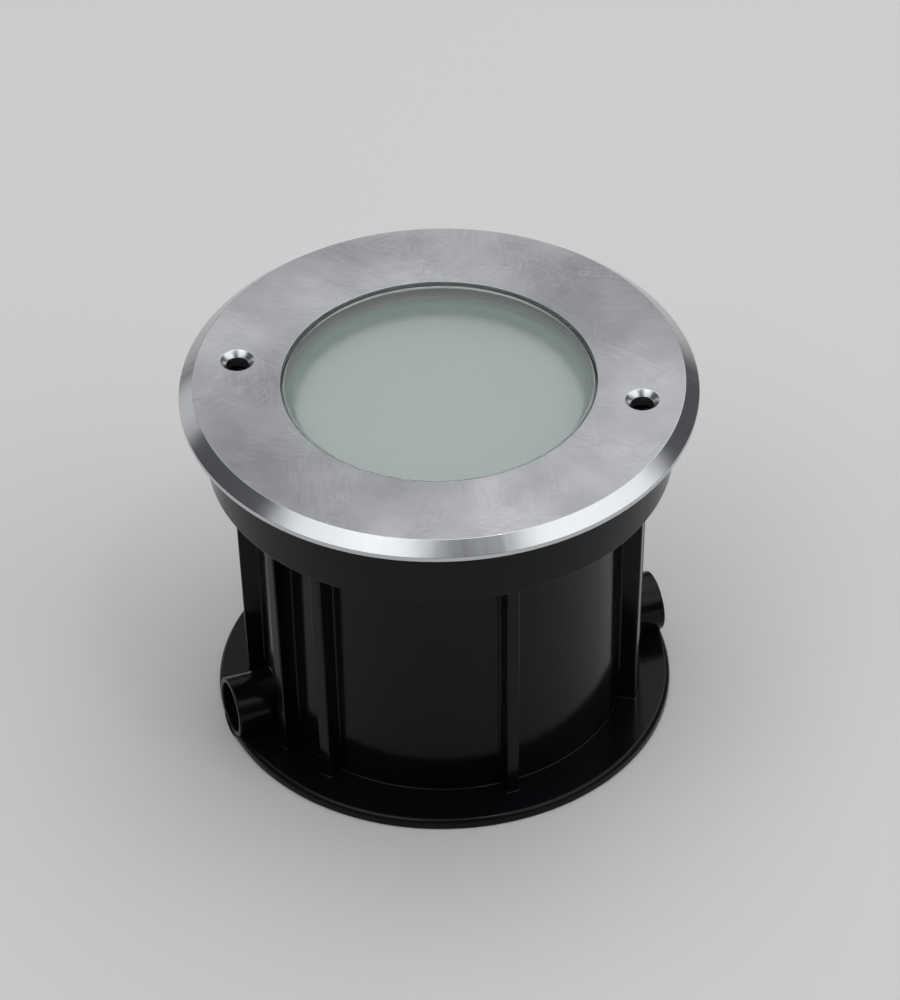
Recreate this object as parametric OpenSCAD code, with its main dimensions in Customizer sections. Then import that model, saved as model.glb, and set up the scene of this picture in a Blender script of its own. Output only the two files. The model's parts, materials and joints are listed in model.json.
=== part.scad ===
// Round in-ground well light. A moulded sleeve is buried in the ground and the sealed light lifts out of it.
// Origin: centre of the sleeve's base. +Z is up, and +X runs along the two cable spouts.

/* [Bezel] */
// Outer diameter of the stainless bezel
bezel_d = 125; // [115:0.5:140]
// Thickness of the bezel plate
bezel_t = 4; // [3.6:0.1:5]
// Width of the bezel's outer chamfer, seen from above
chamfer_w = 3.3; // [1:0.1:4]
// Height of the upright edge left under the chamfer
bezel_edge_h = 1.15; // [0.6:0.05:2]
// Width of the bezel from its rim to the window
bezel_w = 24.4; // [24:0.1:26]
// Thickness of the bezel's lip over the glass
lip_t = 2; // [1.2:0.1:2.4]

/* [Bezel screw holes] */
// Distance of the two screw holes from the bezel's rim
screw_inset = 13.25; // [12.95:0.05:13.45]
// Diameter of each screw hole
screw_hole_d = 5.5; // [5:0.1:6]
// Diameter of each countersink at the bezel's face
countersink_d = 8.2; // [7.6:0.1:9]
// Turn of the screw holes from the spouts, in degrees
screw_turn = -30; // [-40:1:-24]

/* [Glass] */
// Gap round the glass inside the window
glass_gap = 0.6; // [0.3:0.05:1]
// Depth of the glass below the bezel's face
glass_recess = 0.55; // [0.2:0.05:1]
// Width of the glass flange past the window step
glass_flange_w = 3.8; // [3:0.1:4]
// Thickness of the glass flange
glass_flange_t = 4; // [3:0.1:5]
// Width of the ground bevel round the glass
glass_arris = 0.4; // [0.2:0.1:0.5]
// Thickness of each glass gasket, clamped
lens_gasket_t = 0.8; // [0.5:0.1:1.2]

/* [Sleeve] */
// Height of the sleeve without its gasket
sleeve_h = 90; // [86:0.5:110]
// Thickness of the foam gasket between the sleeve and the bezel
rim_gasket_t = 1; // [0.6:0.1:2]
// Reach of the bezel past the sleeve's rim
bezel_overhang = 5.3; // [3.8:0.1:5.6]
// Height of the sleeve's wide rim
rim_h = 16.6; // [15:0.1:20]
// Height of the sloping shoulder under the rim
shoulder_h = 2.8; // [1.5:0.1:6]
// Step from the sleeve's rim in to the top of the ribs
rim_step = 6.6; // [5.6:0.1:7.4]
// Lean of the ribs, from their top in to their foot
rib_lean = 2.2; // [1.4:0.1:2.8]
// Depth of each rib at its foot
rib_depth = 4; // [3.6:0.1:4.3]
// Width of each rib
rib_w = 3.2; // [2:0.1:4]
// Draft of the barrel, as growth in radius up to the shoulder
barrel_draft = 1.2; // [0.5:0.1:2]
// Wall thickness of the sleeve
sleeve_wall = 2.2; // [1.8:0.1:2.4]
// Inset of the base plate from the sleeve's rim
base_inset = 1.3; // [0:0.1:4]
// Thickness of the base plate
base_t = 2.8; // [2:0.1:3.2]
// Width of the bevel round the base plate's top edge
base_bevel = 0.8; // [0.2:0.1:1.2]

/* [Cable spouts] */
// Outer diameter of each cable spout
spout_d = 15; // [14:0.1:16]
// Bore of each cable spout
spout_bore_d = 12.4; // [10:0.1:12.6]
// Reach of each spout past the base plate
spout_proud = 0.1; // [0.1:0.1:4]
// Height of the spouts' axis
spout_z = 7.9; // [7.9:0.1:12]

/* [Ribs] */
// Angle of the ribs beside each spout, in degrees from the spout
near_rib_turn = 15; // [14:0.5:17]
// Angle of the next ribs, in degrees from the spout
far_rib_turn = 33; // [28:0.5:40]
// Angle of the middle ribs, in degrees from the spout
middle_rib_turn = 90; // [80:1:100]

/* [Screw posts] */
// Outer diameter of each screw post in the sleeve's rim
post_d = 9.4; // [9:0.1:9.6]
// Outer diameter of each brass insert
insert_d = 6.6; // [6.4:0.1:7]
// Length of each brass insert
insert_l = 8; // [6:0.5:11]
// Depth of each brass insert below its post's top
insert_sink = 2.6; // [0.4:0.1:3]
// Thread bore of each brass insert
insert_bore_d = 4.2; // [4:0.1:4.4]

/* [Housing] */
// Width of the ledge that carries the glass, from the pocket in to the chamber
seat_w = 4.2; // [3.9:0.1:4.8]
// Wall thickness of the housing
housing_wall = 2.8; // [2.4:0.1:3]
// Depth of the housing below the bezel
housing_h = 51; // [50.5:0.5:54]
// Thickness of the housing's floor
housing_floor_t = 3; // [2.5:0.1:4]
// Width of the bevel round the housing's floor
housing_bevel = 1.2; // [0.6:0.1:2]
// Thickness of the housing's flange
flange_t = 6; // [5.4:0.1:8]
// Wall between the glass pocket and the four flange screws
flange_screw_wall = 1.7; // [1.4:0.1:2]
// Diameter of each flange screw's shank
flange_screw_d = 2.8; // [2.5:0.1:3]

/* [Cooling fins] */
// Number of cooling fins round the housing
fin_count = 24; // [12:1:30]
// Depth of each cooling fin
fin_depth = 1.4; // [0.8:0.1:1.8]
// Width of each cooling fin
fin_w = 1.6; // [1.2:0.1:2]
// Height of the plain wall under the fins
fin_foot_h = 5; // [3:0.5:8]

/* [Light chamber] */
// Depth of the diffuser's face below the glass face
diffuser_depth = 11; // [10:0.5:12]
// Thickness of the diffuser disc
diffuser_t = 2; // [1.5:0.1:3]
// Width of the ring that holds the diffuser down
holder_w = 2.2; // [1.5:0.1:3]
// Height of the reflector
reflector_h = 10.8; // [9:0.1:12]
// Flare of the reflector on each side, from the board up to the diffuser
reflector_flare = 9.4; // [9:0.1:11]
// Wall thickness of the reflector
reflector_wall = 1.2; // [0.8:0.1:1.6]
// Margin of the LED board past the reflector's foot
board_margin = 3.5; // [2.5:0.1:4.2]
// Thickness of the LED board
board_t = 1.6; // [1:0.1:2]
// Thickness of the carrier plate under the board
carrier_t = 3; // [2:0.1:4]
// Width of each LED package
led_w = 3.5; // [2.8:0.1:5]
// Height of each LED package
led_h = 1.4; // [0.8:0.1:2]

/* [Driver] */
// Clearance between the driver case and the gland's nut
driver_gap = 4.7; // [1:0.1:8]
// Clearance between the driver case's corners and the housing's wall
driver_corner_gap = 1.7; // [1:0.1:3]
// Height of the driver case
driver_h = 14; // [10:0.5:15]
// Diameter of each driver lead
lead_d = 1.6; // [1.2:0.1:2]

/* [Cable gland] */
// Distance of the gland's axis from the housing's inner wall
gland_inset = 15.9; // [15.4:0.1:16.4]
// Thread diameter of the gland
gland_thread_d = 15.6; // [14:0.1:16]
// Wall of the gland's hexagons past the thread, at the flats
gland_hex_wall = 1.7; // [1.4:0.1:1.8]
// Height of the gland's hexagon
gland_hex_h = 5; // [4:0.5:6]
// Height of the gland's cap nut
gland_cap_h = 10; // [8:0.5:11]
// Cable hole through the gland's seal
gland_cable_d = 6.6; // [5:0.1:8]

/* [Hidden] */
$fn = 96;
// Overrun of every cut past the face that it opens
cut = 1;
// Clearance between pieces that drop together
fit_gap = 0.3;
// Clearance round a thread or a press fit
thread_gap = 0.1;

// Levels from the ground up
rim_z = sleeve_h - rim_h;
shelf_z = rim_z - shoulder_h;
post_top_z = sleeve_h - fit_gap;
insert_z = post_top_z - insert_sink - insert_l;
bezel_z = sleeve_h + rim_gasket_t;
top_z = bezel_z + bezel_t;
lip_z = top_z - lip_t;
glass_top_z = top_z - glass_recess;
glass_flange_z = lip_z - lens_gasket_t;
glass_z = glass_flange_z - glass_flange_t;
pocket_z = glass_z - lens_gasket_t;
housing_z = bezel_z - housing_h;
floor_z = housing_z + housing_floor_t;
diffuser_z = glass_top_z - diffuser_depth - diffuser_t;
board_top_z = diffuser_z - reflector_h;
board_z = board_top_z - board_t;
carrier_z = board_z - carrier_t;

// Radii that several pieces share
bezel_r = bezel_d / 2;
window_r = bezel_r - bezel_w;
glass_r = window_r - glass_gap;
glass_flange_r = glass_r + glass_flange_w;
pocket_r = glass_flange_r + fit_gap;
chamber_r = pocket_r - seat_w;
chamber_fit_r = chamber_r - fit_gap;
housing_r = chamber_r + housing_wall;
flange_head_d = 5;
flange_head_h = 2.2;
flange_screw_count = 4;
flange_screw_r = pocket_r + flange_screw_wall + flange_screw_d / 2;
flange_r = flange_screw_r + flange_head_d / 2 + fit_gap;
rim_r = bezel_r - bezel_overhang;
rim_inner_r = rim_r - sleeve_wall - base_bevel / 2;
rib_top_r = rim_r - rim_step;
rib_foot_r = rib_top_r - rib_lean;
barrel_foot_r = rib_foot_r - rib_depth;
barrel_top_r = barrel_foot_r + barrel_draft;
base_r = rim_r - base_inset;
spout_reach = base_r + spout_proud;
screw_r = bezel_r - screw_inset;
reflector_foot_r = chamber_fit_r - reflector_wall - reflector_flare;
gasket_in_r = window_r + fit_gap / 2;

// Post that carries the carrier plate inside the housing
carrier_post_d = 7.2;
carrier_post_r = chamber_r - carrier_post_d / 2 + fit_gap;
carrier_posts = 3;
small_screw_d = 2.4;
small_head_d = 5;
small_head_h = 1.8;
// Run of thread that holds each small screw
small_thread_l = 6;

module at_polar(r, turn) {
    rotate([0, 0, turn])
        translate([r, 0, 0])
            children();
}

module around(count, r, turn = 0) {
    for (i = [0 : count - 1])
        at_polar(r, turn + i * 360 / count)
            children();
}

module disc(r, z, h) {
    translate([0, 0, z])
        cylinder(r = r, h = h);
}

module ring(outer, inner, z, h) {
    difference() {
        disc(outer, z, h);
        disc(inner, z - cut, h + 2 * cut);
    }
}

module hexagon(flats, z, h) {
    translate([0, 0, z])
        cylinder(d = flats / cos(180 / 6), h = h, $fn = 6);
}

// Countersunk or plain screws hang from their head: the head's top is at zero and the shank points down
module pan_screw(shank_d, head_d, head_h, length) {
    socket_d = head_d / 2;
    difference() {
        union() {
            translate([0, 0, -head_h])
                cylinder(d = head_d, h = head_h);
            translate([0, 0, -head_h - length])
                cylinder(d = shank_d, h = length + head_h / 2);
        }
        translate([0, 0, -head_h / 2])
            cylinder(d = socket_d, h = head_h, $fn = 6);
    }
}

/* Sleeve */

// Outline of the sleeve's wall, turned about the axis: base plate, tapered barrel, shoulder and rim
module sleeve_wall_shape() {
    rim_foot_r = rim_r - base_bevel;
    rotate_extrude()
        polygon([
            [barrel_foot_r - sleeve_wall, 0],
            [base_r, 0],
            [base_r, base_t - base_bevel],
            [base_r - base_bevel, base_t],
            [barrel_foot_r, base_t],
            [barrel_top_r, shelf_z],
            [rib_top_r, shelf_z],
            [rim_foot_r, rim_z],
            [rim_r, sleeve_h],
            [rim_r - sleeve_wall, sleeve_h],
            [rim_inner_r, rim_z + sleeve_wall],
            [barrel_top_r, shelf_z + sleeve_wall],
            [barrel_top_r - sleeve_wall, shelf_z],
        ]);
}

// Ribs stand on the base plate, run up to the shoulder and lean with the rib taper
module sleeve_ribs() {
    intersection() {
        rotate_extrude()
            polygon([
                [barrel_foot_r - sleeve_wall / 2, base_t / 2],
                [rib_foot_r, base_t / 2],
                [rib_top_r, shelf_z + sleeve_wall / 2],
                [barrel_top_r - sleeve_wall / 2, shelf_z + sleeve_wall / 2],
            ]);
        for (side = [0, 180], turn = [
            near_rib_turn, -near_rib_turn, far_rib_turn, -far_rib_turn, middle_rib_turn
        ])
            rotate([0, 0, side + turn])
                translate([0, -rib_w / 2, 0])
                    cube([rib_top_r + cut, rib_w, sleeve_h]);
    }
}

module screw_post() {
    web_w = post_d / 2;
    at_polar(screw_r, 0)
        disc(post_d / 2, shelf_z + sleeve_wall / 2, post_top_z - shelf_z - sleeve_wall / 2);
    translate([screw_r, -web_w / 2, rim_z])
        cube([rim_inner_r + sleeve_wall / 2 - screw_r, web_w, post_top_z - rim_z]);
}

module spout(d, from, to) {
    translate([from, 0, spout_z])
        rotate([0, 90, 0])
            cylinder(d = d, h = to - from);
}

module mounting_sleeve() {
    color("#191b1c")
        difference() {
            union() {
                sleeve_wall_shape();
                sleeve_ribs();
                for (side = [0, 180]) {
                    rotate([0, 0, side])
                        spout(spout_d, barrel_foot_r - sleeve_wall / 2, spout_reach);
                    rotate([0, 0, side + screw_turn])
                        screw_post();
                }
            }
            for (side = [0, 180]) {
                rotate([0, 0, side])
                    spout(spout_bore_d, barrel_foot_r - sleeve_wall - cut, spout_reach + cut);
                at_polar(screw_r, side + screw_turn)
                    disc(insert_d / 2 + thread_gap / 2, insert_z, insert_l + insert_sink + cut);
                at_polar(screw_r, side + screw_turn)
                    disc(insert_bore_d / 2, rim_z + sleeve_wall, rim_h);
            }
        }
}

module rim_gasket() {
    color("#202223")
        ring(rim_r - thread_gap, rim_r - sleeve_wall + thread_gap, sleeve_h, rim_gasket_t);
}

module screw_inserts() {
    color("#b08d3c")
        around(2, screw_r, screw_turn)
            ring(insert_d / 2, insert_bore_d / 2, insert_z, insert_l);
}

/* Bezel and glass */

module bezel_ring() {
    sink_h = (countersink_d - screw_hole_d) / 2;
    color("#b9bcbe")
        difference() {
            rotate_extrude()
                polygon([
                    [window_r, lip_z],
                    [pocket_r, lip_z],
                    [pocket_r, bezel_z],
                    [bezel_r, bezel_z],
                    [bezel_r, bezel_z + bezel_edge_h],
                    [bezel_r - chamfer_w, top_z],
                    [window_r, top_z],
                ]);
            around(2, screw_r, screw_turn) {
                disc(screw_hole_d / 2, bezel_z - cut, bezel_t + 2 * cut);
                translate([0, 0, top_z - sink_h])
                    cylinder(r1 = screw_hole_d / 2, r2 = countersink_d / 2 + cut, h = sink_h + cut);
            }
            flange_screw_places()
                disc(flange_screw_d / 2 + thread_gap, bezel_z - cut, cut + bezel_t - lip_t / 2);
        }
}

module glass_lens() {
    color("#9fb0ab", 0.8)
        rotate_extrude()
            polygon([
                [0, glass_z],
                [glass_flange_r - glass_arris, glass_z],
                [glass_flange_r, glass_z + glass_arris],
                [glass_flange_r, glass_flange_z],
                [glass_r, glass_flange_z],
                [glass_r, glass_top_z - glass_arris],
                [glass_r - glass_arris, glass_top_z],
                [0, glass_top_z],
            ]);
}

module upper_lens_gasket() {
    color("#1d1f20")
        ring(glass_flange_r, gasket_in_r, glass_flange_z, lens_gasket_t);
}

module lower_lens_gasket() {
    color("#1d1f20")
        ring(glass_flange_r, gasket_in_r, pocket_z, lens_gasket_t);
}

/* Housing */

module flange_screw_places() {
    around(flange_screw_count, flange_screw_r, screw_turn + 180 / flange_screw_count)
        children();
}

// Outline of the housing, turned about the axis: floor, wall, flange, glass pocket and chamber
module housing_shape() {
    rotate_extrude()
        polygon([
            [0, housing_z],
            [housing_r - housing_bevel, housing_z],
            [housing_r, housing_z + housing_bevel],
            [housing_r, bezel_z - flange_t],
            [flange_r, bezel_z - flange_t],
            [flange_r, bezel_z],
            [pocket_r, bezel_z],
            [pocket_r, pocket_z],
            [chamber_r, pocket_z],
            [chamber_r, floor_z],
            [0, floor_z],
        ]);
}

// Fins stand out of the housing's wall, with a sloping foot, and end in its flange, below the glass pocket
module cooling_fins() {
    fin_root_r = housing_r - housing_wall / 2;
    fin_tip_r = housing_r + fin_depth;
    fin_z = housing_z + fin_foot_h;
    fin_top_z = (bezel_z - flange_t + pocket_z) / 2;
    intersection() {
        rotate_extrude()
            polygon([
                [fin_root_r, fin_z],
                [housing_r, fin_z],
                [fin_tip_r, fin_z + fin_depth],
                [fin_tip_r, fin_top_z],
                [fin_root_r, fin_top_z],
            ]);
        around(fin_count, fin_root_r, screw_turn)
            translate([0, -fin_w / 2, fin_z])
                cube([fin_tip_r - fin_root_r + cut, fin_w, fin_top_z - fin_z]);
    }
}

module inner_housing() {
    post_top = carrier_z - floor_z;
    thread_r = small_screw_d / 2 + thread_gap;
    color("#8d9092")
        difference() {
            union() {
                housing_shape();
                cooling_fins();
                around(carrier_posts, carrier_post_r)
                    disc(carrier_post_d / 2, floor_z - housing_floor_t / 2, post_top + housing_floor_t / 2);
            }
            around(2, screw_r, screw_turn)
                disc(post_d / 2 + fit_gap * 2, bezel_z - flange_t - cut, flange_t + 2 * cut);
            flange_screw_places()
                disc(flange_screw_d / 2 + fit_gap / 2, bezel_z - flange_t - cut, flange_t + 2 * cut);
            around(carrier_posts, carrier_post_r)
                disc(thread_r, carrier_z - small_thread_l - cut, small_thread_l + 2 * cut);
            driver_screw_places()
                disc(thread_r, floor_z - housing_floor_t / 2, housing_floor_t);
            translate([-gland_offset, 0, 0])
                disc(gland_thread_d / 2 + thread_gap, housing_z - cut, housing_floor_t + 2 * cut);
        }
}

module flange_screws() {
    thread_l = flange_t + bezel_t - lip_t - thread_gap;
    color("#a9acae")
        flange_screw_places()
            translate([0, 0, bezel_z - flange_t - flange_head_h])
                mirror([0, 0, 1])
                    pan_screw(flange_screw_d, flange_head_d, flange_head_h, thread_l);
}

/* Light chamber */

module diffuser_holder() {
    holder_z = diffuser_z + diffuser_t;
    color("#3b4643")
        ring(chamber_fit_r, chamber_fit_r - holder_w, holder_z, pocket_z - holder_z);
}

module diffuser_disc() {
    color("#dfe6e3")
        disc(chamber_fit_r, diffuser_z, diffuser_t);
}

module reflector() {
    top_r = chamber_fit_r - reflector_wall;
    color("#e8eaea")
        rotate_extrude()
            polygon([
                [reflector_foot_r, board_top_z],
                [reflector_foot_r + reflector_wall, board_top_z],
                [top_r + reflector_wall, diffuser_z - reflector_wall],
                [top_r + reflector_wall, diffuser_z],
                [top_r, diffuser_z],
            ]);
}

module led_board() {
    color("#e4e8e6")
        difference() {
            disc(reflector_foot_r + board_margin, board_z, board_t);
            board_screw_places()
                disc(small_screw_d / 2 + thread_gap, board_z - cut, board_t + 2 * cut);
            lead_places()
                disc(lead_d, board_z - cut, board_t + 2 * cut);
        }
}

module led_packages() {
    outer_leds = 8;
    inner_leds = 4;
    outer_r = reflector_foot_r - 2 * led_w;
    inner_r = outer_r / 2;
    color("#f0e6a8") {
        around(outer_leds, outer_r, 180 / outer_leds)
            led_package();
        around(inner_leds, inner_r, 180 / inner_leds)
            led_package();
    }
}

module led_package() {
    dome_r = led_w / 2 - led_h / 4;
    translate([-led_w / 2, -led_w / 2, board_top_z])
        cube([led_w, led_w, led_h / 2]);
    disc(dome_r, board_top_z, led_h);
}

module board_screw_places() {
    around(2, reflector_foot_r - small_head_d / 2 - fit_gap, 90)
        children();
}

module board_screws() {
    color("#a9acae")
        board_screw_places()
            translate([0, 0, board_top_z + small_head_h])
                pan_screw(small_screw_d, small_head_d, small_head_h, board_t + carrier_t / 2);
}

module carrier_plate() {
    color("#a4a8aa")
        difference() {
            disc(chamber_fit_r, carrier_z, carrier_t);
            around(carrier_posts, carrier_post_r)
                disc(small_screw_d / 2 + thread_gap, carrier_z - cut, carrier_t + 2 * cut);
            board_screw_places()
                disc(small_screw_d / 2 + thread_gap, carrier_z - cut, carrier_t + 2 * cut);
            lead_places()
                disc(lead_d, carrier_z - cut, carrier_t + 2 * cut);
        }
}

module carrier_screws() {
    color("#a9acae")
        around(carrier_posts, carrier_post_r)
            translate([0, 0, carrier_z + carrier_t + small_head_h])
                pan_screw(small_screw_d, small_head_d, small_head_h, carrier_t + small_thread_l);
}

/* Driver */

// The driver stands between the gland's nut and a carrier post, with an ear on each long side
gland_flats = gland_thread_d + 2 * gland_hex_wall;
gland_offset = chamber_r - gland_inset;
driver_x = gland_flats / 2 / cos(180 / 6) - gland_offset + driver_gap;
driver_end_x = carrier_post_r - carrier_post_d / 2 - fit_gap;
driver_l = driver_end_x - driver_x;
driver_w = 2 * sqrt(pow(chamber_r - driver_corner_gap, 2) - pow(driver_end_x, 2));
driver_ear_t = 1.6;
driver_ear_w = small_head_d + 2 * fit_gap;
lead_spacing = 3 * lead_d;
lead_pad_share = 1.2;
lead_pad_r = lead_d * lead_pad_share;

module driver_screw_places() {
    for (side = [-1, 1])
        translate([driver_x + driver_l / 2, side * (driver_w / 2 + driver_ear_w / 2), 0])
            children();
}

module lead_places() {
    for (side = [-1, 1])
        translate([reflector_foot_r - lead_pad_r - 2 * fit_gap, side * lead_spacing / 2, 0])
            children();
}

module driver_case() {
    color("#e9e9e4")
        difference() {
            union() {
                translate([driver_x, -driver_w / 2, floor_z])
                    cube([driver_l, driver_w, driver_h]);
                translate([driver_x + driver_l / 2 - driver_ear_w / 2, -driver_w / 2 - driver_ear_w, floor_z])
                    cube([driver_ear_w, driver_w + 2 * driver_ear_w, driver_ear_t]);
            }
            driver_screw_places()
                disc(small_screw_d / 2 + thread_gap, floor_z - cut, driver_ear_t + 2 * cut);
            lead_places()
                disc(lead_d / 2 + thread_gap, floor_z + driver_h - driver_ear_t, driver_ear_t + cut);
        }
}

module driver_screws() {
    shank_l = driver_ear_t + housing_floor_t / 2 - thread_gap;
    color("#a9acae")
        driver_screw_places()
            translate([0, 0, floor_z + driver_ear_t + small_head_h])
                pan_screw(small_screw_d, small_head_d, small_head_h, shank_l);
}

module driver_leads() {
    lead_z = floor_z + driver_h - driver_ear_t;
    pad_h = lead_d / 2;
    color("#b5342c")
        lead_places() {
            disc(lead_d / 2, lead_z, board_top_z - lead_z + pad_h);
            disc(lead_pad_r, board_top_z, pad_h);
        }
}

/* Cable gland */

gland_washer_t = 1.4;
gland_hex_z = housing_z - gland_washer_t - gland_hex_h;
gland_neck_step = 0.8;
gland_neck_d = gland_thread_d - 2 * gland_neck_step;
gland_cap_z = gland_hex_z - fit_gap - gland_cap_h;
gland_nut_h = 3.6;
gland_neck_wall = 1.6;
gland_seal_d = gland_neck_d - 2 * gland_neck_wall;

module at_gland() {
    translate([-gland_offset, 0, 0])
        children();
}

module gland_body() {
    neck_z = gland_cap_z + gland_cap_h / 3;
    top = floor_z + gland_nut_h + thread_gap;
    color("#26282a")
        at_gland()
            difference() {
                union() {
                    hexagon(gland_flats, gland_hex_z, gland_hex_h);
                    disc(gland_thread_d / 2, gland_hex_z, top - gland_hex_z);
                    disc(gland_neck_d / 2, neck_z, gland_hex_z + gland_hex_h / 2 - neck_z);
                }
                disc(gland_cable_d / 2 + 2 * fit_gap, neck_z - cut, top - neck_z + 2 * cut);
                disc(gland_seal_d / 2 + thread_gap, neck_z - cut, gland_cap_h / 2 + cut);
            }
}

module gland_washer() {
    color("#1d1f20")
        at_gland()
            ring(gland_flats / 2, gland_thread_d / 2 + thread_gap, housing_z - gland_washer_t, gland_washer_t);
}

module gland_seal() {
    seal_z = gland_cap_z + gland_cap_h / 3;
    color("#3a3d3f")
        at_gland()
            ring(gland_seal_d / 2, gland_cable_d / 2, seal_z, gland_cap_h / 2);
}

module gland_cap() {
    lip_h = gland_cap_h / 3 - thread_gap;
    color("#26282a")
        at_gland()
            difference() {
                union() {
                    hexagon(gland_flats, gland_cap_z + lip_h, gland_cap_h - lip_h);
                    translate([0, 0, gland_cap_z])
                        cylinder(d1 = gland_neck_d, d2 = gland_flats, h = lip_h);
                }
                disc(gland_neck_d / 2 + thread_gap, gland_cap_z + lip_h, gland_cap_h);
                disc(gland_cable_d / 2 + fit_gap, gland_cap_z - cut, gland_cap_h);
            }
}

module gland_locknut() {
    color("#c9a85a")
        at_gland()
            difference() {
                hexagon(gland_flats, floor_z, gland_nut_h);
                disc(gland_thread_d / 2 + thread_gap, floor_z - cut, gland_nut_h + 2 * cut);
            }
}

mounting_sleeve();
rim_gasket();
screw_inserts();
bezel_ring();
glass_lens();
upper_lens_gasket();
lower_lens_gasket();
inner_housing();
flange_screws();
diffuser_holder();
diffuser_disc();
reflector();
led_board();
led_packages();
board_screws();
carrier_plate();
carrier_screws();
driver_case();
driver_screws();
driver_leads();
gland_body();
gland_washer();
gland_seal();
gland_cap();
gland_locknut();
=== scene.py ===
# %% [markdown]
# # A round in-ground well light
# A moulded plastic sleeve is buried in the ground. A sealed light unit, with a stainless bezel and a
# frosted glass, drops into it and rests on a foam gasket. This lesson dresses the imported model: it
# keeps every piece where the model has it and gives each one rounded edges and a real finish.

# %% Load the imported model
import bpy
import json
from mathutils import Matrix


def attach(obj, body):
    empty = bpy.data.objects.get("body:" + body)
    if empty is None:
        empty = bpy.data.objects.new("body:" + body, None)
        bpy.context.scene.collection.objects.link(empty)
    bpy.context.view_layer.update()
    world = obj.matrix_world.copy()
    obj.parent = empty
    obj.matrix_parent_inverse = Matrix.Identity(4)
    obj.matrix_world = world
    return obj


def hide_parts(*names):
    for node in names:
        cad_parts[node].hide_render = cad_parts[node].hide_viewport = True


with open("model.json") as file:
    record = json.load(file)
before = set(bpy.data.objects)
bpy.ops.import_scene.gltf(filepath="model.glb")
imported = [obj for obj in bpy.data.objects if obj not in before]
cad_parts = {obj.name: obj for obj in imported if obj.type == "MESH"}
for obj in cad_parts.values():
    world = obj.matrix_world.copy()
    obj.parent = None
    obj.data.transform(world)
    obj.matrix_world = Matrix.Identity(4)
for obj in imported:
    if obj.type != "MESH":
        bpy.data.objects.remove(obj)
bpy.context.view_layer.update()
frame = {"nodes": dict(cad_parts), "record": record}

# %% [markdown]
# ## Units and colours
# Blender works in metres, and the light is described in millimetres, so one value turns the one into
# the other. Colours are written as on a paint card, in sRGB hex, and shaders want linear light, so one
# function turns a hex value to linear.

# %% Units and colours
import json
import math

import bmesh
import bpy
from mathutils import Quaternion, Vector

MM = 0.001


def linear(colour):
    """Linear RGBA of an sRGB hex value."""
    shares = [int(colour[k:k + 2], 16) / 255 for k in (1, 3, 5)]
    return [s / 12.92 if s <= 0.04045 else ((s + 0.055) / 1.055) ** 2.4 for s in shares] + [1]


print("mid grey, #808080, is", round(linear("#808080")[0], 3), "in linear light")

# %% [markdown]
# ## Places on the light
# The two countersinks are turned round their own axes, so their finish has to know where they are. The
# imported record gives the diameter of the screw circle, and the screws stand 30 degrees from the line of
# the cable spouts.

# %% Places on the light
MOUNTS = {mount["name"]: mount for mount in frame["record"]["mounts"]}
SCREW_TURN = math.radians(-30)
SCREW_R = MOUNTS["bezel_screw_holes"]["dims"]["pcd_mm"] / 2 * MM
SCREW_TURNS = (SCREW_TURN, SCREW_TURN + math.pi)
SCREW_PLACES = [Vector((math.cos(a), math.sin(a), 0)) * SCREW_R for a in SCREW_TURNS]
print("two screws", round(SCREW_R / MM, 2), "mm from the axis")

# %% [markdown]
# ## The camera
# The picture was taken with a long lens from above and a little to the left. Azimuth, elevation and
# roll turn the camera, and the distance and the lens follow from how fast the circles shrink with
# depth. The aim is the point in the middle of the frame. The lens is given for a sensor 36 mm wide, and
# nothing further off than 50 m is drawn.

# %% The camera
AZIMUTH, ELEVATION, ROLL = (math.radians(a) for a in (-19.597, 40.020, -1.052))
DISTANCE = 1638.98 * MM
AIM = Vector((3.22, 2.70, 54.30)) * MM
LENS, SENSOR = 268.81, 36
FARTHEST = 50


def toward(azimuth, elevation):
    """Unit vector from the light towards a place round it; azimuth 0 is in front, at -Y."""
    level = math.cos(elevation)
    return Vector((math.sin(azimuth) * level, -math.cos(azimuth) * level, math.sin(elevation)))


camera_data = bpy.data.cameras.new("camera")
camera_data.lens, camera_data.sensor_width, camera_data.sensor_fit = LENS, SENSOR, "HORIZONTAL"
camera_data.clip_end = FARTHEST
camera = bpy.data.objects.new("camera", camera_data)
bpy.context.scene.collection.objects.link(camera)
back = toward(AZIMUTH, ELEVATION)
camera.location = AIM + back * DISTANCE
camera.rotation_mode = "QUATERNION"
camera.rotation_quaternion = (-back).to_track_quat("-Z", "Y") @ Quaternion((0, 0, 1), ROLL)
bpy.context.scene.camera = camera
bpy.context.scene.view_settings.view_transform = "Standard"
print("camera at", [round(v, 3) for v in camera.location])

# %% [markdown]
# ## Nodes of a material
# Every finish below is a small tree of shader nodes. One function adds a node, sets its values and
# plugs its links, so that each material reads as a list of what it is made of.

# %% Nodes of a material
def add(tree, kind, links=None, **settings):
    """Adds a node. A setting names a property or a socket, and a link gives a socket its source."""
    node = tree.nodes.new("ShaderNode" + kind)
    for name, value in settings.items():
        if hasattr(node, name):
            setattr(node, name, value)
    for name, value in settings.items():
        if not hasattr(node, name):
            node.inputs[name.replace("_", " ")].default_value = value
    for name, source in (links or {}).items():
        tree.links.new(source, node.inputs[name])
    return node


def new_material(name):
    """An empty material with its output node."""
    material = bpy.data.materials.new(name)
    material.use_nodes = True
    material.node_tree.nodes.clear()
    return material, material.node_tree, add(material.node_tree, "OutputMaterial")


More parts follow.
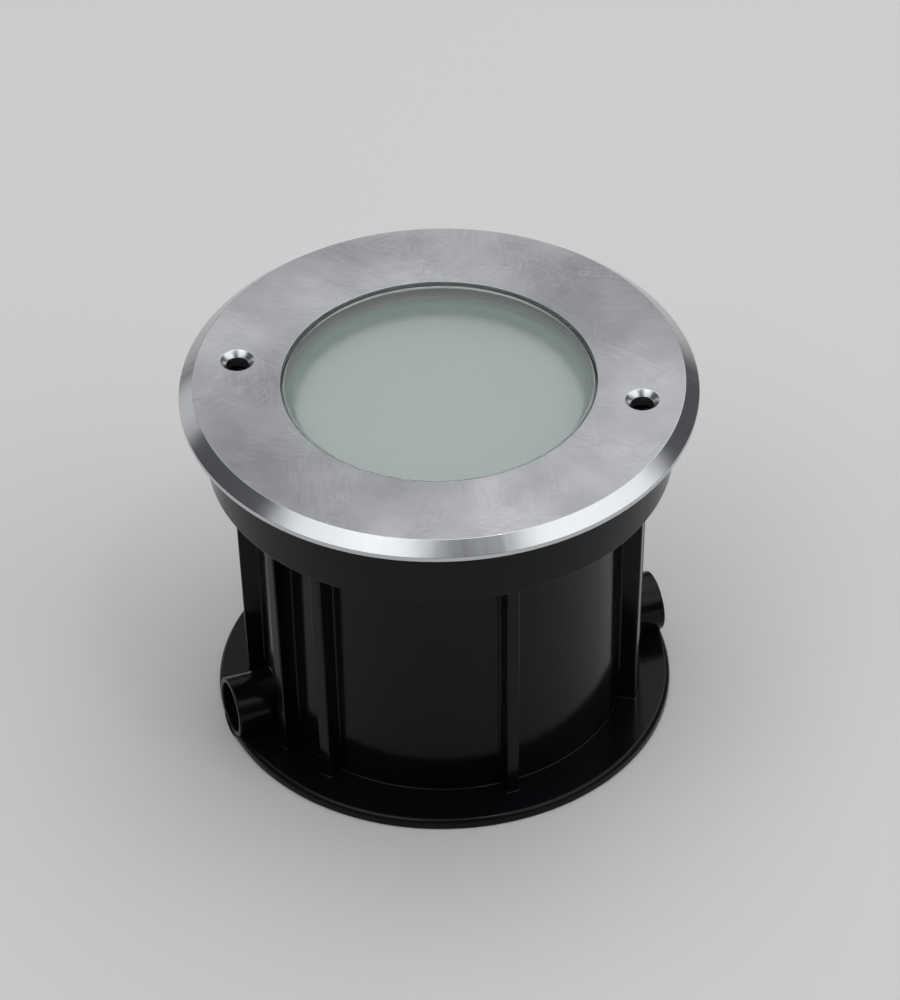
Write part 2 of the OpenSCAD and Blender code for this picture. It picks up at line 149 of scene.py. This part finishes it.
# %% [markdown]
# ## Studio
# A plain pale floor and a plain grey room, with seven soft boxes. Two hang in front, left and right of
# the camera, and leave a gap between them: the bezel's slope shows them as two bright arcs. A wide, dim
# one hangs behind, where the flat of the bezel mirrors it, and a small one beside it is spread by the
# brushed metal into two bright fans. A low one behind, to the left, shows at the slope's far left. A
# large one overhead lights the floor and all upper faces, and a small, strong one in front gives edges
# their thin highlights. Real soft boxes are dimmer towards their edges, so these are even over their
# middle two fifths and fade from there, and their reflections have no hard ends. Each row of the table
# holds a box's azimuth from the camera's and its elevation, in degrees, its width and height, in metres,
# and the radiance of its middle. Its energy in watts is that radiance times pi times its area.

# %% Studio
FLOOR_SIDE = 30.0
BOX_DISTANCE = 1.6
PAINT, WALLS, CEILING = "#dededc", "#5c5d60", "#8c8d90"
WALL_TOP, ZENITH = math.sin(math.radians(30)), 1.0
MIDDLE, EDGE, EVEN_SHARE = 0.5, 0.5, 0.2
SOFT_BOXES = {
    "left_box": (-47, 53, 1.85, 1.10, 1.15),
    "right_box": (73, 45, 2.50, 1.10, 1.30),
    "wide_back_box": (180, 46, 3.20, 1.70, 0.47),
    "back_box": (150, 44, 1.20, 0.70, 1.10),
    "low_box": (-135, 12, 1.20, 0.60, 0.60),
    "top_box": (180, 88, 2.25, 2.25, 1.28),
    "key_box": (40, 70, 0.20, 0.20, 12.00),
}


def studio_floor():
    """A large flat floor that the light stands on."""
    shape = bmesh.new()
    bmesh.ops.create_grid(shape, x_segments=1, y_segments=1, size=FLOOR_SIDE / 2)
    mesh = bpy.data.meshes.new("floor")
    shape.to_mesh(mesh)
    shape.free()
    floor = bpy.data.objects.new("floor", mesh)
    bpy.context.scene.collection.objects.link(floor)
    material, tree, output = new_material("painted_floor")
    paint = add(tree, "BsdfPrincipled", Base_Color=linear(PAINT), Roughness=0.9)
    tree.links.new(paint.outputs[0], output.inputs[0])
    mesh.materials.append(material)


def edge_fade(tree, share):
    """Full in the middle of a soft box and dark at its edge, for a place across it from 0 to 1."""
    centred = add(tree, "Math", {0: share}, operation="SUBTRACT")
    centred.inputs[1].default_value = MIDDLE
    away = add(tree, "Math", {0: centred.outputs[0]}, operation="ABSOLUTE").outputs[0]
    fade = add(
        tree, "MapRange", {"Value": away}, interpolation_type="SMOOTHSTEP",
        From_Min=EVEN_SHARE, From_Max=EDGE, To_Min=1.0, To_Max=0.0,
    )
    return fade.outputs[0]


def soft_box(name, azimuth, elevation, width, height, radiance):
    """Hangs a soft box that faces the light."""
    data = bpy.data.lights.new(name, "AREA")
    data.shape, data.size, data.size_y = "RECTANGLE", width, height
    data.energy = radiance * math.pi * width * height
    data.use_nodes = True
    tree = data.node_tree
    share = add(tree, "SeparateXYZ", {"Vector": add(tree, "NewGeometry").outputs["Parametric"]})
    across, down = (edge_fade(tree, share.outputs[k]) for k in (0, 1))
    both = add(tree, "Math", {0: across, 1: down}, operation="MULTIPLY")
    tree.links.new(both.outputs[0], tree.nodes["Emission"].inputs["Strength"])
    lamp = bpy.data.objects.new(name, data)
    bpy.context.scene.collection.objects.link(lamp)
    away = toward(AZIMUTH + math.radians(azimuth), math.radians(elevation))
    lamp.location = away * BOX_DISTANCE
    lamp.rotation_mode = "QUATERNION"
    lamp.rotation_quaternion = (-away).to_track_quat("-Z", "Y")
    print(f"{name}: {data.energy:.1f} W")


def studio_room():
    """A grey room whose walls reach 30 degrees up, where the ceiling starts to grow paler."""
    world = bpy.data.worlds.new("room")
    world.use_nodes = True
    tree = world.node_tree
    height = add(tree, "SeparateXYZ", {"Vector": add(tree, "TexCoord").outputs["Generated"]})
    rise = add(
        tree, "MapRange", {"Value": height.outputs["Z"]}, interpolation_type="SMOOTHSTEP",
        From_Min=WALL_TOP, From_Max=ZENITH,
    )
    wall = add(tree, "Mix", {"Factor": rise.outputs[0]}, data_type="RGBA")
    wall.inputs[6].default_value = linear(WALLS)
    wall.inputs[7].default_value = linear(CEILING)
    tree.links.new(wall.outputs[2], tree.nodes["Background"].inputs["Color"])
    bpy.context.scene.world = world


studio_floor()
studio_room()
for name, settings in SOFT_BOXES.items():
    soft_box(name, *settings)

# %% [markdown]
# ## Rounded edges
# No moulded, turned or cast edge is as sharp as a drawing's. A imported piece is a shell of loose
# triangles, so a copy of it is merged, its flat faces are joined again, and every edge sharper than a
# limit is bevelled by the radius that such a piece has. This keeps the real shape and gives each edge
# the thin highlight that makes a surface look solid. Shading then runs smoothly over all but the folds
# that are still sharper than 40 degrees.

# %% Rounded edges
SHARP = math.radians(25)
SMOOTH = math.radians(40)
COPLANAR = math.radians(0.3)
SAME_CORNER = 0.002 * MM
ARC_STEPS = 3


def merged_copy(node):
    """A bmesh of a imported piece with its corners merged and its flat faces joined."""
    shape = bmesh.new()
    shape.from_mesh(frame["nodes"][node].data)
    bmesh.ops.remove_doubles(shape, verts=shape.verts, dist=SAME_CORNER)
    bmesh.ops.dissolve_limit(
        shape, angle_limit=COPLANAR, verts=shape.verts[:], edges=shape.edges[:],
        use_dissolve_boundaries=False,
    )
    return shape


def round_edges(shape, radius):
    """Bevels every sharp edge by a radius."""
    sharp = [e for e in shape.edges if e.is_manifold and e.calc_face_angle() > SHARP]
    bmesh.ops.bevel(
        shape, geom=sharp, offset=radius, segments=ARC_STEPS, profile=0.5, affect="EDGES",
        clamp_overlap=False, material=-1,
    )


def finish_piece(shape, name, body, materials, stands_for):
    """Makes the piece's object, lets it ride on its body and hides the node that it stands for."""
    mesh = bpy.data.meshes.new(name)
    shape.to_mesh(mesh)
    shape.free()
    for material in materials:
        mesh.materials.append(material)
    mesh.shade_smooth()
    mesh.set_sharp_from_angle(angle=SMOOTH)
    piece = bpy.data.objects.new(name, mesh)
    bpy.context.scene.collection.objects.link(piece)
    weigh = piece.modifiers.new("flat_faces_stay_flat", "WEIGHTED_NORMAL")
    weigh.keep_sharp = True
    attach(piece, body)
    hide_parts(stands_for)
    print(f"{name}: {sum(len(f.vertices) - 2 for f in mesh.polygons)} triangles")


# %% [markdown]
# ## Shared patterns
# Most finishes are a plain shader whose colour, gloss and surface wander a little, because no process
# leaves a perfectly even skin. The grain is the size of that wandering in millimetres, and the relief
# is its height. Turned parts have fine lines round their axis instead, which are noise along the radius
# and the height, so they close round the axis by themselves. Noise mostly stays between 0.3 and 0.7,
# and each skin mixes its grain with blotches 14 times as broad.

# %% Shared patterns
MOSTLY = (0.3, 0.7)
BROAD, FINE_SHARE, GLOSS_SWING = 14, 0.4, 0.15


def place(tree):
    """Object coordinates, in metres."""
    return add(tree, "TexCoord").outputs["Object"]


def noise(tree, point, size, detail=2.0, **more):
    """Noise whose blotches are about a size in millimetres across: 0 to 1."""
    node = add(tree, "TexNoise", {"Vector": point}, Scale=1 / (size * MM), Detail=detail, **more)
    return node.outputs["Fac"]


def remap(tree, value, low, high, to_low, to_high):
    """Stretches a value from one range to another and clamps it there."""
    node = add(
        tree, "MapRange", {"Value": value},
        From_Min=low, From_Max=high, To_Min=to_low, To_Max=to_high,
    )
    return node.outputs[0]


def math_of(tree, operation, first, second):
    """Joins two values; the second may be a plain number."""
    node = add(tree, "Math", {0: first}, operation=operation)
    if isinstance(second, (int, float)):
        node.inputs[1].default_value = second
    else:
        tree.links.new(second, node.inputs[1])
    return node.outputs[0]


def shaded(tree, factor, dark, light):
    """A colour between two hex values."""
    node = add(tree, "Mix", {"Factor": factor}, data_type="RGBA")
    node.inputs[6].default_value = linear(dark)
    node.inputs[7].default_value = linear(light)
    return node.outputs[2]


def grained(name, dark, light, roughness, grain, relief, **settings):
    """A skin that wanders with a grain and stands up by a relief, both in millimetres."""
    material, tree, output = new_material(name)
    point = place(tree)
    fine = noise(tree, point, grain, 3.0)
    broad = noise(tree, point, BROAD * grain)
    fine_part = math_of(tree, "MULTIPLY", fine, FINE_SHARE)
    broad_part = math_of(tree, "MULTIPLY", broad, 1 - FINE_SHARE)
    colour = shaded(tree, math_of(tree, "ADD", fine_part, broad_part), dark, light)
    gloss = remap(tree, broad, *MOSTLY, roughness * (1 - GLOSS_SWING), roughness * (1 + GLOSS_SWING))
    bump = add(tree, "Bump", {"Height": fine}, Strength=1.0, Distance=relief * MM)
    shader = add(
        tree, "BsdfPrincipled",
        {"Base Color": colour, "Roughness": gloss, "Normal": bump.outputs[0]}, **settings,
    )
    tree.links.new(shader.outputs[0], output.inputs[0])
    return material


# %% [markdown]
# ## Brushed stainless steel
# The bezel is stainless steel plate, turned on a lathe and then sanded with a random orbital pad. The
# pad leaves short, faint, curved scratches that lie in patches, and a soft cloudy tone. The lathe's
# grooves still stretch each highlight along the radius, and on top of that the colour is painted lighter
# in wide fans round the axis: a painted highlight. Steel keeps the default IOR: its colour and its
# roughness do the work. Real scratches are a few hundredths of a millimetre wide, and are drawn 0.3 mm
# wide, so that the picture can show them. Sizes are in millimetres, a length before its width, and
# turns are in degrees.

# %% Brushed stainless steel
SCRATCH_TURNS = (-35, 12, 64, 118)
SCRATCH, STROKE = (4.0, 0.30), (7.0, 0.9)
STROKE_LEAN = 8
PATCH, CLOUD, CURVE, SWAY = 15, 22, 16, 6
FIRST_SEED, NEXT_SEED, STROKE_SEED = 3, 7.3, 2
# The fan scale and share set a painted highlight: wide fans of lighter colour round the axis.
PAINTED_FANS, SCRATCH_DEPTH = 3.0, 0.01
CLOUD_SHARE, PAINTED_FAN_SHARE, STROKE_SHARE, SCRATCH_SHARE = 0.75, 0.2, 0.16, 0.2
PATCH_EDGE, SCRATCH_EDGE, STROKE_EDGE = (0.47, 0.6), (0.60, 0.78), (0.35, 0.65)
SANDED_ROUGH, SCRATCH_ROUGH = 0.35, 0.31


def radius_of(tree, point):
    """A point's distance from the axis and its direction from it."""
    flat = add(tree, "VectorMath", {0: point}, operation="MULTIPLY")
    flat.inputs[1].default_value = (1, 1, 0)
    length = add(tree, "VectorMath", {0: flat.outputs[0]}, operation="LENGTH").outputs["Value"]
    outward = add(tree, "VectorMath", {0: flat.outputs[0]}, operation="NORMALIZE").outputs[0]
    return length, outward


def strokes(tree, point, turn, seed, length, width):
    """Noise drawn out along one direction, with a length and a width in millimetres."""
    turned = add(
        tree, "Mapping", {"Vector": point}, vector_type="TEXTURE", Rotation=(0, 0, math.radians(turn)),
        Scale=(length * MM, width * MM, 1.0), Location=(seed * MM, 0, 0),
    )
    streak = add(
        tree, "TexNoise", {"Vector": turned.outputs[0]}, noise_dimensions="2D", Scale=1.0, Detail=1.0,
    )
    return streak.outputs["Fac"]


def patch_of(tree, point, seed):
    """Where the pad last moved in one direction: 0 to 1."""
    patches = noise(tree, point, PATCH, 1.0, noise_dimensions="4D", W=seed)
    return remap(tree, patches, *PATCH_EDGE, 0.0, 1.0)


def brushed_stainless():
    """Orbital sanded stainless steel plate: soft silver with faint crossing scratches and painted
    highlight fans.
    """
    material, tree, output = new_material("brushed_stainless")
    point = place(tree)
    outward = radius_of(tree, point)[1]
    wander = add(tree, "TexNoise", {"Vector": point}, Scale=1 / (CURVE * MM), Detail=1.0)
    bent = add(tree, "VectorMath", {0: wander.outputs["Color"], 2: point}, operation="MULTIPLY_ADD")
    bent.inputs[1].default_value = (SWAY * MM, SWAY * MM, 0)
    marks = soft = None
    for k, turn in enumerate(SCRATCH_TURNS):
        seed = FIRST_SEED + NEXT_SEED * k
        patch = patch_of(tree, point, seed)
        fine = strokes(tree, bent.outputs[0], turn, seed, *SCRATCH)
        wide = strokes(tree, bent.outputs[0], turn + STROKE_LEAN, seed + STROKE_SEED, *STROKE)
        fine = math_of(tree, "MULTIPLY", remap(tree, fine, *SCRATCH_EDGE, 0.0, 1.0), patch)
        wide = math_of(tree, "MULTIPLY", remap(tree, wide, *STROKE_EDGE, -0.5, 0.5), patch)
        marks = math_of(tree, "ADD", marks, fine) if marks else fine
        soft = math_of(tree, "ADD", soft, wide) if soft else wide
    cloud = noise(tree, point, CLOUD, 3.0)
    # Painted highlight: the colour grows lighter in wide fans round the axis, which are mixed in with the
    # random cloudy tone.
    painted_fan = add(tree, "TexNoise", {"Vector": outward}, Scale=PAINTED_FANS, Detail=3.0).outputs["Fac"]
    clouds = remap(tree, cloud, *MOSTLY, 0.0, CLOUD_SHARE)
    tone_and_painted_fans = math_of(tree, "ADD", clouds, remap(tree, painted_fan, *MOSTLY, 0.0, PAINTED_FAN_SHARE))
    tone_and_painted_fans = math_of(tree, "ADD", tone_and_painted_fans, math_of(tree, "MULTIPLY", soft, STROKE_SHARE))
    tone_and_painted_fans = math_of(tree, "ADD", tone_and_painted_fans, math_of(tree, "MULTIPLY", marks, SCRATCH_SHARE))
    colour = shaded(tree, tone_and_painted_fans, "#a3a4a7", "#cfd0d2")
    rough = remap(tree, marks, 0.0, 1.0, SANDED_ROUGH, SCRATCH_ROUGH)
    bump = add(tree, "Bump", {"Height": marks}, Strength=0.08, Distance=SCRATCH_DEPTH * MM)
    steel = add(
        tree, "BsdfPrincipled",
        {"Base Color": colour, "Roughness": rough, "Normal": bump.outputs[0], "Tangent": outward},
        Metallic=1.0, Anisotropic=0.8,
    )
    tree.links.new(steel.outputs[0], output.inputs[0])
    return material


# %% [markdown]
# ## Turned metal
# The bezel's slope and edge, its two countersinks and the brass parts come straight off the lathe. The
# tool leaves grooves a tenth of a millimetre apart round the axis: the surface is almost a mirror along
# them and spreads light across them, so a soft box shows as an arc with clear ends.

# %% Turned metal
GROOVE, STREAKS = 0.12, 30.0
STREAK_EDGE, SMOOTHEST, ROUGHEST = (0.35, 0.65), 0.9, 1.15


def turned_metal(name, dark, light, roughness, spread, centre=(0, 0, 0)):
    """Metal with fine tool lines round an axis. The spread is how far they stretch a highlight."""
    material, tree, output = new_material(name)
    moved = add(tree, "Mapping", {"Vector": place(tree)}, Location=tuple(-v for v in centre))
    point = moved.outputs[0]
    length, outward = radius_of(tree, point)
    height = add(tree, "SeparateXYZ", {"Vector": point}).outputs["Z"]
    profile = add(tree, "CombineXYZ", {"X": length, "Y": height}).outputs[0]
    groove = noise(tree, profile, GROOVE, noise_dimensions="2D")
    streak = add(tree, "TexNoise", {"Vector": outward}, Scale=STREAKS, Detail=2.0).outputs["Fac"]
    half_groove = math_of(tree, "MULTIPLY", groove, 0.5)
    half_streak = math_of(tree, "MULTIPLY", streak, 0.5)
    colour = shaded(tree, math_of(tree, "ADD", half_groove, half_streak), dark, light)
    rough = remap(tree, streak, *STREAK_EDGE, roughness * SMOOTHEST, roughness * ROUGHEST)
    metal = add(
        tree, "BsdfPrincipled", {"Base Color": colour, "Roughness": rough, "Tangent": outward},
        Metallic=1.0, Anisotropic=spread,
    )
    tree.links.new(metal.outputs[0], output.inputs[0])
    return material


def turned_stainless():
    """Stainless steel off the lathe: nearly a mirror, with long bright arcs."""
    return turned_metal("turned_stainless", "#c0c2c4", "#d2d4d6", roughness=0.16, spread=0.5)


def countersink(side, centre):
    """Stainless steel cut by a countersink: bright, a little duller, with its lines round the screw."""
    return turned_metal(
        side + "_countersink", "#bcbec0", "#d8dadc", roughness=0.22, spread=0.3, centre=centre,
    )


def drilled_stainless():
    """Stainless steel torn by a drill: dull and darker."""
    return turned_metal("drilled_stainless", "#85878a", "#9b9da0", roughness=0.45, spread=0.2)


def turned_brass():
    """Brass off the lathe: warm yellow with fine bright lines."""
    return turned_metal("turned_brass", "#b08d48", "#caa75c", roughness=0.22, spread=0.3)


# %% [markdown]
# ## Frosted glass
# The window is a thick disc of float glass with its face etched by acid. Float glass is a little green,
# and the etched skin scatters what comes through, so the white disc below shows as an even, milky light
# and the ring that holds it shows only as a soft teal shadow on the far side. The etched grain is a few
# hundredths of a millimetre, too fine for a bump to show, so the roughness stands for it and wanders a
# little where the acid bit deeper.

# %% Frosted glass
ACID_PATCH = 9
MOST_CLEAR, MOST_HAZY = 0.22, 0.26


def frosted_glass():
    """Acid etched float glass: milky, faintly green, with no sharp reflection."""
    material, tree, output = new_material("frosted_glass")
    point = place(tree)
    haze = remap(tree, noise(tree, point, ACID_PATCH), *MOSTLY, MOST_CLEAR, MOST_HAZY)
    glass = add(
        tree, "BsdfPrincipled", {"Roughness": haze},
        Base_Color=linear("#eef5f3"), Transmission_Weight=0.88, IOR=1.52,
    )
    tree.links.new(glass.outputs[0], output.inputs[0])
    return material


# %% [markdown]
# ## Moulded plastics and rubber
# The sleeve is black ABS from a polished mould: a deep, even black with soft, long reflections and a
# faint orange peel. It mirrors only a third as much as real ABS does, because the pale studio floor
# would otherwise turn its black walls grey. The gland is nylon from a sparked mould, which is duller.
# The reflector, the holder and the driver's case are moulded too, each with its own gloss. Gaskets are
# EPDM foam, whose cut cells show as dark pits, and silicone, which is smooth and dull.

# %% Moulded plastics and rubber
FOAM_CELL, CELL_DEPTH = 0.45, 0.06
PIT_EDGE = (0.1, 0.6)


def moulded_abs():
    """Injection moulded black ABS from a polished mould: deep black with long soft reflections."""
    return grained(
        "moulded_abs", "#07080a", "#0e1014", roughness=0.15, grain=1.1, relief=0.005,
        IOR=1.53, Specular_IOR_Level=0.16,
    )


def moulded_nylon():
    """Injection moulded black nylon from a sparked mould: charcoal with a satin grain."""
    return grained(
        "moulded_nylon", "#141517", "#1d1f21", roughness=0.42, grain=0.35, relief=0.012, IOR=1.53,
    )


def moulded_holder():
    """Injection moulded grey green ABS: dull, so that it shows in the window as a soft teal shadow."""
    return grained(
        "moulded_holder", "#38776a", "#44877a", roughness=0.55, grain=0.5, relief=0.010, IOR=1.53,
    )


def moulded_reflector():
    """Injection moulded white polycarbonate: bright and glossy, to throw the light upwards."""
    return grained(
        "moulded_reflector", "#eceded", "#f6f6f4", roughness=0.22, grain=0.9, relief=0.003, IOR=1.585,
    )


def moulded_driver_case():
    """Injection moulded PBT: warm white with a matt skin."""
    return grained(
        "moulded_driver_case", "#dcdcd6", "#e8e8e2", roughness=0.5, grain=0.4, relief=0.010, IOR=1.55,
    )


def wire_insulation():
    """Extruded PVC: red, smooth along the wire."""
    return grained(
        "wire_insulation", "#a3261f", "#b5342c", roughness=0.38, grain=0.6, relief=0.004, IOR=1.54,
    )


def silicone_rubber():
    """Pressed silicone: smooth, dull and nearly black."""
    return grained(
        "silicone_rubber", "#131415", "#1b1c1d", roughness=0.6, grain=0.5, relief=0.006, IOR=1.41,
    )


def epdm_foam():
    """Cut closed-cell EPDM foam: charcoal, with small round cells."""
    material, tree, output = new_material("epdm_foam")
    point = place(tree)
    cells = add(tree, "TexVoronoi", {"Vector": point}, Scale=1 / (FOAM_CELL * MM)).outputs["Distance"]
    skin = remap(tree, cells, *PIT_EDGE, 0.0, 1.0)
    bump = add(tree, "Bump", {"Height": skin}, Strength=1.0, Distance=CELL_DEPTH * MM)
    colour = shaded(tree, skin, "#0f1011", "#232425")
    foam = add(
        tree, "BsdfPrincipled", {"Base Color": colour, "Normal": bump.outputs[0]},
        Roughness=0.9, IOR=1.47,
    )
    tree.links.new(foam.outputs[0], output.inputs[0])
    return material


# %% [markdown]
# ## Cast, rolled and optical parts
# The housing is die cast aluminium, blasted with grit, which leaves a fine grey sparkle. The carrier is
# rolled sheet. The diffuser is opal acrylic, an even soft white: it lies under frosted glass, so a plain
# white body looks the same as one that light enters, with less noise. The board is white lacquer over
# glass fibre. The small screws are cold headed and plated.

# %% Cast, rolled and optical parts
def cast_aluminium():
    """Die cast aluminium blasted with grit: matt silver grey with a fine sparkle."""
    return grained(
        "cast_aluminium", "#8f9294", "#aaadaf", roughness=0.48, grain=0.4, relief=0.020, Metallic=1.0,
    )


def rolled_aluminium():
    """Rolled aluminium sheet: brighter and smoother than the casting."""
    return grained(
        "rolled_aluminium", "#b9bbbd", "#c9cbcc", roughness=0.32, grain=0.7, relief=0.004, Metallic=1.0,
    )


def plated_screw_steel():
    """Cold headed steel with bright zinc plating: cool silver, slightly uneven."""
    return grained(
        "plated_screw_steel", "#b4b7b9", "#cdd0d2", roughness=0.24, grain=0.5, relief=0.004, Metallic=1.0,
    )


def opal_acrylic():
    """Extruded opal acrylic: an even soft white under the glass."""
    return grained("opal_acrylic", "#f1f4f2", "#fafbfa", roughness=0.5, grain=1.5, relief=0.002, IOR=1.49)


def solder_mask():
    """White solder mask screen printed on glass fibre board: satin, with the weave just showing."""
    return grained("solder_mask", "#e6e9e6", "#f0f2f0", roughness=0.3, grain=0.6, relief=0.004, IOR=1.5)


def led_phosphor():
    """Phosphor powder in clear silicone: warm yellow and smooth."""
    return grained(
        "led_phosphor", "#e2c24a", "#f2dc7c", roughness=0.25, grain=0.15, relief=0.003, IOR=1.41,
    )


# %% All finishes
MATERIALS = {
    "ring_face": brushed_stainless(),
    "ring_edge": turned_stainless(),
    "right_sink": countersink("right", SCREW_PLACES[0]),
    "left_sink": countersink("left", SCREW_PLACES[1]),
    "bore": drilled_stainless(),
    "brass": turned_brass(),
    "glass": frosted_glass(),
    "abs": moulded_abs(),
    "nylon": moulded_nylon(),
    "holder": moulded_holder(),
    "reflector": moulded_reflector(),
    "driver": moulded_driver_case(),
    "wire": wire_insulation(),
    "silicone": silicone_rubber(),
    "foam": epdm_foam(),
    "cast": cast_aluminium(),
    "sheet": rolled_aluminium(),
    "screw": plated_screw_steel(),
    "opal": opal_acrylic(),
    "board": solder_mask(),
    "phosphor": led_phosphor(),
}
print(len(MATERIALS), "finishes")

# %% [markdown]
# ## Dressing the pieces
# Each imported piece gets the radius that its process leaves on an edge, in millimetres, and its finish.
# A table holds both, so one loop dresses the whole light. The bezel comes first and by itself, because one
# piece of steel carries five finishes: its sanded face, its turned edge, its two countersinks and the
# drilled bores below them. A face that looks straight up is the sanded one, and a face close to a
# screw's axis is a countersink or, if it is steep, a bore.

# %% The bezel
BODY_OF = {node: body for body, nodes in frame["record"]["behaviour"]["bodies"].items() for node in nodes}
BEZEL_FINISHES = ("ring_face", "ring_edge", "right_sink", "left_sink", "bore")
SINK_CENTRES = dict(zip(("right_sink", "left_sink"), SCREW_PLACES))
SINK_R = 4.6 * MM
FLAT_SHARE, WALL_SHARE = 0.995, 0.3
BEZEL_ROUND = 0.08


def bezel_finish(face):
    """Which of the bezel's five finishes a face has."""
    if face.normal.z > FLAT_SHARE:
        return "ring_face"
    middle = face.calc_center_median()
    middle.z = 0
    for sink, centre in SINK_CENTRES.items():
        if (middle - centre).length < SINK_R:
            return sink if face.normal.z > WALL_SHARE else "bore"
    return "ring_edge"


bezel = merged_copy("bezel_ring")
round_edges(bezel, BEZEL_ROUND * MM)
bezel.normal_update()
for face in bezel.faces:
    face.material_index = BEZEL_FINISHES.index(bezel_finish(face))
finish_piece(
    bezel, "bezel_ring_finished", BODY_OF["bezel_ring"],
    [MATERIALS[finish] for finish in BEZEL_FINISHES], "bezel_ring",
)

# %% The other pieces
DRESS = {
    "mounting_sleeve": (0.4, "abs"), "rim_gasket": (0.15, "foam"), "screw_inserts": (0.2, "brass"),
    "glass_lens": (0.1, "glass"),
    "upper_lens_gasket": (0.15, "silicone"), "lower_lens_gasket": (0.15, "silicone"),
    "inner_housing": (0.35, "cast"), "flange_screws": (0.2, "screw"),
    "diffuser_holder": (0.3, "holder"), "diffuser_disc": (0.2, "opal"), "reflector": (0.15, "reflector"),
    "led_board": (0.1, "board"), "led_packages": (0.1, "phosphor"), "board_screws": (0.2, "screw"),
    "carrier_plate": (0.2, "sheet"), "carrier_screws": (0.2, "screw"),
    "driver_case": (0.4, "driver"), "driver_screws": (0.2, "screw"), "driver_leads": (0.15, "wire"),
    "gland_body": (0.3, "nylon"), "gland_washer": (0.2, "silicone"), "gland_seal": (0.2, "silicone"),
    "gland_cap": (0.3, "nylon"), "gland_locknut": (0.3, "brass"),
}
for node, (radius, finish) in DRESS.items():
    shape = merged_copy(node)
    round_edges(shape, radius * MM)
    finish_piece(shape, node + "_finished", BODY_OF[node], [MATERIALS[finish]], node)
